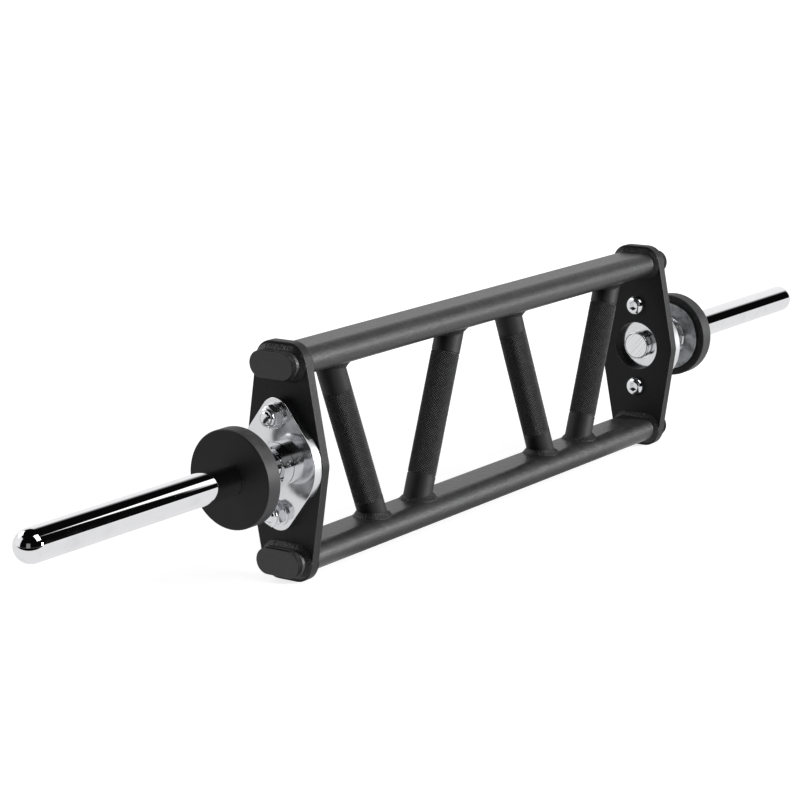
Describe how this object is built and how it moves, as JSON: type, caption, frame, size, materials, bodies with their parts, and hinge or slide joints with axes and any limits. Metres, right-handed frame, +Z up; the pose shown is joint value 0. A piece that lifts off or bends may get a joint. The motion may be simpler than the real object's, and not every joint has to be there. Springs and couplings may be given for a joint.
{
  "type": "swiss bar",
  "caption": "Multi-grip barbell: flat-oval rails and slanted knurled grips welded between two end plates, with bearing-mounted rotating loading sleeves.",
  "frame": {"origin": "on the ground that the two end plates stand on, halfway between them and in the middle of their depth", "axes": "+X runs along the bar towards the far sleeve in the picture, +Z is up, and -Y is the side that the picture shows"},
  "size_m": [1.286, 0.091, 0.222],
  "materials": {
    "powder_black": "matt black powder coat with a fine texture",
    "rail_charcoal": "fine-textured charcoal powder coat",
    "grip_black": "matt black coat over a fine diamond knurl, smooth at both ends",
    "cap_grey": "pebbled dark grey moulded plastic",
    "polished_chrome": "mirror-bright chrome plate",
    "zinc_steel": "bright zinc plate",
    "bearing_steel": "ground and polished bearing steel",
    "satin_steel": "satin turned steel",
    "stop_rubber": "matt black rubber",
    "nylon": "natural white nylon"
  },
  "bodies": {
    "frame": {"left_end_plate": "powder_black", "right_end_plate": "powder_black", "top_rail": "rail_charcoal", "bottom_rail": "rail_charcoal", "left_rail_welds": "powder_black", "right_rail_welds": "powder_black", "outer_left_grip": "grip_black", "inner_left_grip": "grip_black", "inner_right_grip": "grip_black", "outer_right_grip": "grip_black", "top_left_cap": "cap_grey", "bottom_left_cap": "cap_grey", "top_right_cap": "cap_grey", "bottom_right_cap": "cap_grey", "left_flange": "polished_chrome", "right_flange": "polished_chrome", "left_outer_ring": "bearing_steel", "right_outer_ring": "bearing_steel", "left_front_shield": "bearing_steel", "right_front_shield": "bearing_steel", "left_back_shield": "bearing_steel", "right_back_shield": "bearing_steel", "left_flange_bolts": "zinc_steel", "right_flange_bolts": "zinc_steel", "left_washers": "zinc_steel", "right_washers": "zinc_steel", "left_lock_nuts": "zinc_steel", "right_lock_nuts": "zinc_steel", "left_nut_inserts": "nylon", "right_nut_inserts": "nylon"},
    "left_spindle": {"left_sleeve": "polished_chrome", "left_inner_ring": "bearing_steel", "left_ring_screws": "zinc_steel", "left_lock_collar": "polished_chrome", "left_collar_screws": "zinc_steel", "left_steel_disc": "satin_steel", "left_rubber_disc": "stop_rubber"},
    "left_ball_row": {"left_balls": "bearing_steel", "left_ball_cage": "satin_steel"},
    "right_spindle": {"right_sleeve": "polished_chrome", "right_inner_ring": "bearing_steel", "right_ring_screws": "zinc_steel", "right_lock_collar": "polished_chrome", "right_collar_screws": "zinc_steel", "right_steel_disc": "satin_steel", "right_rubber_disc": "stop_rubber"},
    "right_ball_row": {"right_balls": "bearing_steel", "right_ball_cage": "satin_steel"}
  },
  "joints": [
    {"name": "left_sleeve_spin", "type": "hinge", "parent": "frame", "child": "left_spindle", "pos_m": [-0.316, 0, 0.111], "axis": [1, 0, 0], "continuous": true},
    {"name": "left_ball_orbit", "type": "hinge", "parent": "frame", "child": "left_ball_row", "pos_m": [-0.316, 0, 0.111], "axis": [1, 0, 0], "continuous": true},
    {"name": "right_sleeve_spin", "type": "hinge", "parent": "frame", "child": "right_spindle", "pos_m": [0.316, 0, 0.111], "axis": [1, 0, 0], "continuous": true},
    {"name": "right_ball_orbit", "type": "hinge", "parent": "frame", "child": "right_ball_row", "pos_m": [0.316, 0, 0.111], "axis": [1, 0, 0], "continuous": true}
  ],
  "couplings": [
    {"joint": "left_ball_orbit", "follows": "left_sleeve_spin", "ratio": 0.44565},
    {"joint": "right_ball_orbit", "follows": "right_sleeve_spin", "ratio": 0.44565}
  ]
}
